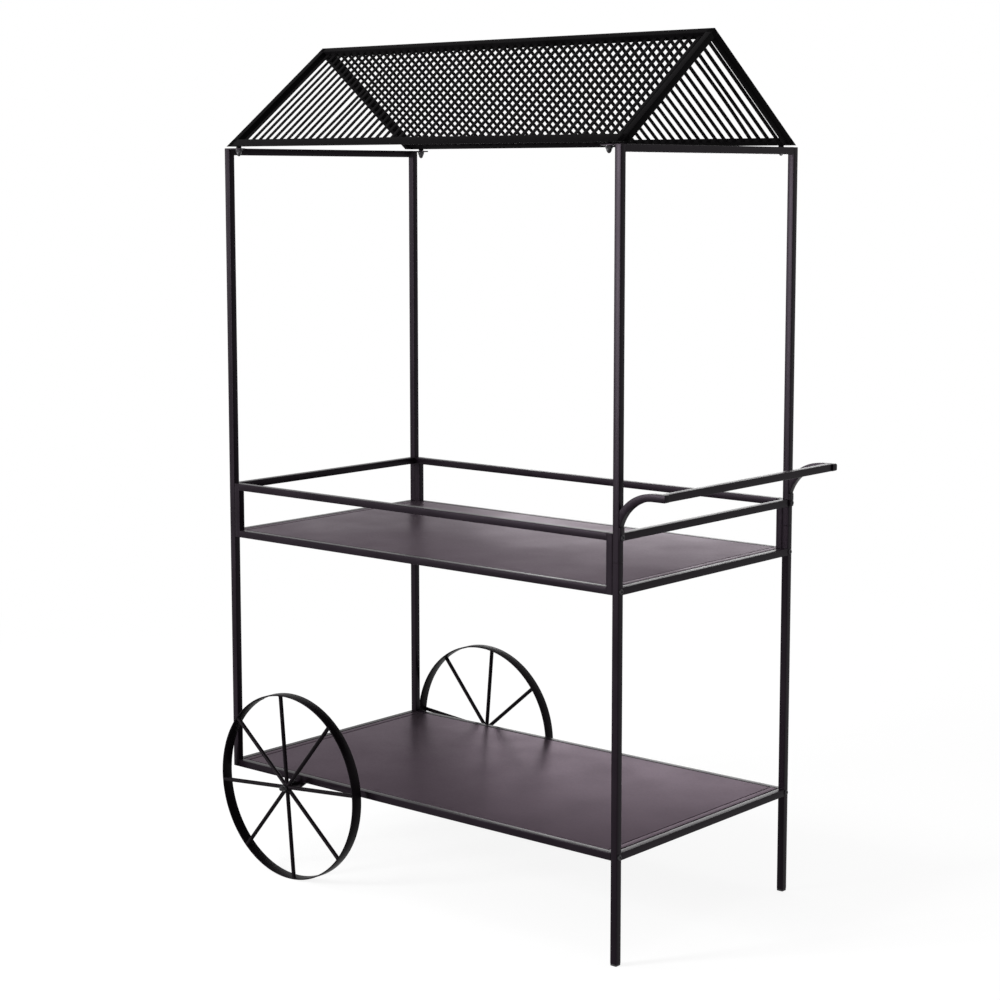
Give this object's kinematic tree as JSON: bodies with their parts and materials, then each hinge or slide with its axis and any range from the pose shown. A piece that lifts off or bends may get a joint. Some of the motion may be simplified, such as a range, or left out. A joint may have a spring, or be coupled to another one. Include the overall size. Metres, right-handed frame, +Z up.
{
  "type": "flower cart stand",
  "caption": "Flower cart stand of square tube: a railed tray over a low shelf, a gabled roof of flat bars, spoked wheels at one end, legs and a push handle at the other.",
  "frame": {"origin": "floor under the middle of the whole length and width, handle and bolt heads included", "axes": "+Z up; +X from the wheel end to the handle end; -Y is the side nearest the camera in the picture, called left, and +Y the far side, called right"},
  "size_m": [1.28, 0.7606, 1.9419],
  "materials": {
    "frame_coat": "black powder coat, satin, with a fine grain",
    "wheel_coat": "black powder coat, satin, over flat-bar rims and round spokes",
    "deck_coat": "dark aubergine grey powder coat on sheet steel, half gloss",
    "roof_coat": "black powder coat, matt",
    "fastener": "blackened steel, a little glossier than the tube",
    "foot": "black moulded plastic"
  },
  "bodies": {
    "stand": {"lower_post_front_left": "frame_coat", "upper_post_front_left": "frame_coat", "lower_post_front_right": "frame_coat", "upper_post_front_right": "frame_coat", "lower_post_rear_left": "frame_coat", "upper_post_rear_left": "frame_coat", "lower_post_rear_right": "frame_coat", "upper_post_rear_right": "frame_coat", "foot_rear_left": "foot", "foot_rear_right": "foot", "shelf_rung_front": "frame_coat", "tray_lower_rung_front": "frame_coat", "tray_upper_rung_front": "frame_coat", "top_bar_front": "frame_coat", "shelf_rung_rear": "frame_coat", "tray_lower_rung_rear": "frame_coat", "tray_upper_rung_rear": "frame_coat", "top_bar_rear": "frame_coat", "tray_top_rail_left": "frame_coat", "tray_bottom_rail_left": "frame_coat", "shelf_side_rail_left": "frame_coat", "tray_top_rail_right": "frame_coat", "tray_bottom_rail_right": "frame_coat", "shelf_side_rail_right": "frame_coat", "tray_upright_front_left": "frame_coat", "tray_upright_front_right": "frame_coat", "tray_upright_rear_left": "frame_coat", "tray_upright_rear_right": "frame_coat", "tray_deck": "deck_coat", "shelf_deck": "deck_coat", "frame_bolt_lower_front_left": "fastener", "frame_bolt_middle_front_left": "fastener", "frame_bolt_upper_front_left": "fastener", "frame_bolt_lower_front_right": "fastener", "frame_bolt_middle_front_right": "fastener", "frame_bolt_upper_front_right": "fastener", "frame_bolt_lower_rear_left": "fastener", "frame_bolt_middle_rear_left": "fastener", "frame_bolt_upper_rear_left": "fastener", "frame_bolt_lower_rear_right": "fastener", "frame_bolt_middle_rear_right": "fastener", "frame_bolt_upper_rear_right": "fastener", "handle_arm_left": "frame_coat", "handle_arm_right": "frame_coat", "handle_bar": "frame_coat", "axle": "fastener", "axle_bracket_left": "frame_coat", "axle_nut_left": "fastener", "roof_slope_left": "roof_coat", "axle_bracket_right": "frame_coat", "axle_nut_right": "fastener", "roof_slope_right": "roof_coat", "roof_bolt_front_left": "fastener", "roof_bolt_front_right": "fastener", "roof_bolt_rear_left": "fastener", "roof_bolt_rear_right": "fastener"},
    "wheel_left": {"wheel_rim_left": "wheel_coat", "wheel_spokes_left": "wheel_coat"},
    "wheel_right": {"wheel_rim_right": "wheel_coat", "wheel_spokes_right": "wheel_coat"}
  },
  "joints": [
    {"name": "wheel_spin_left", "type": "hinge", "parent": "stand", "child": "wheel_left", "pos_m": [-0.418, -0.346, 0.218], "axis": [0, 1, 0], "continuous": true},
    {"name": "wheel_spin_right", "type": "hinge", "parent": "stand", "child": "wheel_right", "pos_m": [-0.418, 0.346, 0.218], "axis": [0, 1, 0], "continuous": true}
  ]
}
